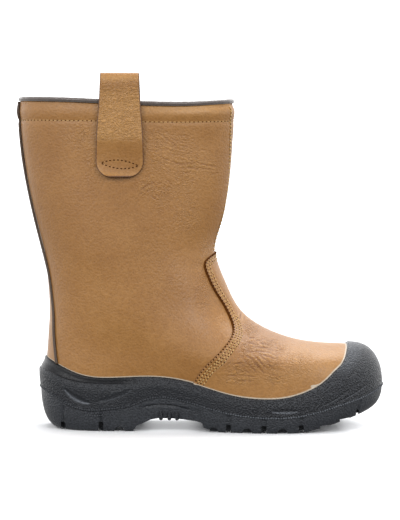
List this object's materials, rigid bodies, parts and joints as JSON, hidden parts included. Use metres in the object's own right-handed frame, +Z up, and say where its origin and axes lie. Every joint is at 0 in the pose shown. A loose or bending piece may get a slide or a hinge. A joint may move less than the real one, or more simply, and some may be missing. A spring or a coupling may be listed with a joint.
{
  "type": "winter work boot",
  "caption": "Pull-on leather work boot for the right foot with a tall leg, stitched vamp, pull loops and a moulded lugged sole whose scuff cap covers the toe.",
  "frame": {"origin": "on the floor under the middle of the boot's length and width", "axes": "+X towards the toe, +Y towards the wearer's other foot, +Z up"},
  "size_m": [0.3248, 0.1115, 0.313],
  "materials": {
    "tan_leather": "full-grain, low sheen",
    "black_moulding": "matt, finely stippled",
    "dark_trim": "smooth, satin",
    "insole_felt": "felted"
  },
  "bodies": {
    "root": {"outsole": "black_moulding", "midsole": "black_moulding", "insole": "insole_felt", "upper": "tan_leather", "vamp": "tan_leather", "collar_binding": "dark_trim", "piping_outer": "dark_trim", "piping_inner": "dark_trim", "pull_loop_outer": "tan_leather", "pull_loop_inner": "tan_leather"}
  },
  "joints": []
}
